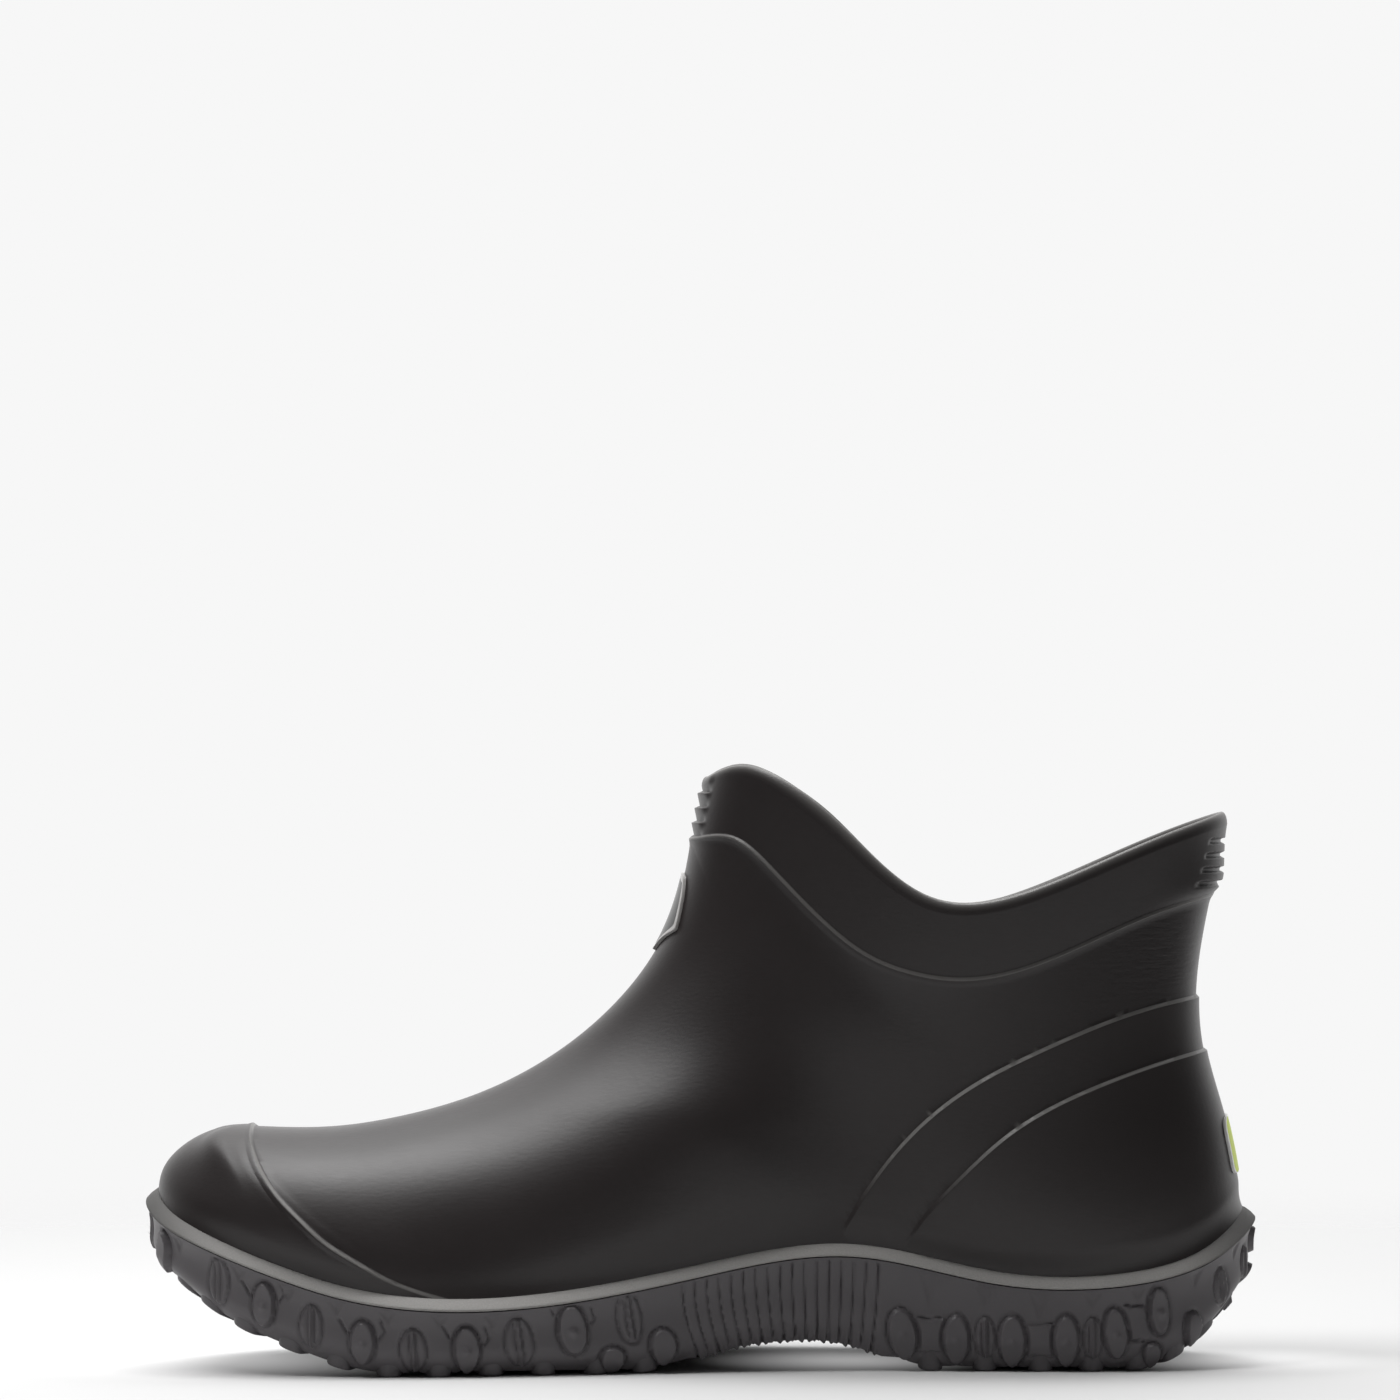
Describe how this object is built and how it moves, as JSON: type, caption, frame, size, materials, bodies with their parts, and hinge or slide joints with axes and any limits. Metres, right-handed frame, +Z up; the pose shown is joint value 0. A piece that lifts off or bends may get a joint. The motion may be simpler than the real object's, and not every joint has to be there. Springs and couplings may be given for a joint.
{
  "type": "rubber ankle boot",
  "caption": "Slip-on waterproof rubber ankle boot with a flared collar, smooth moulded upper and deep lugged sole, for the right foot.",
  "frame": {"origin": "on the floor, under the middle of the boot's length and width", "axes": "+X from toe to heel, +Y towards the outer side of the foot, +Z up; the inner side, which the picture shows, faces -Y"},
  "size_m": [0.3, 0.1103, 0.1618],
  "materials": {
    "outsole": "matte charcoal rubber",
    "welt": "matte dark grey rubber with a fine grain",
    "upper": "satin black moulded rubber",
    "insole": "dark knitted cover on foam",
    "front_badge": "satin black rubber, blank",
    "heel_patch": "lime green rubber, blank"
  },
  "bodies": {
    "root": {"outsole": "outsole", "welt": "welt", "upper": "upper", "insole": "insole", "front_badge": "front_badge", "heel_patch": "heel_patch"}
  },
  "joints": []
}
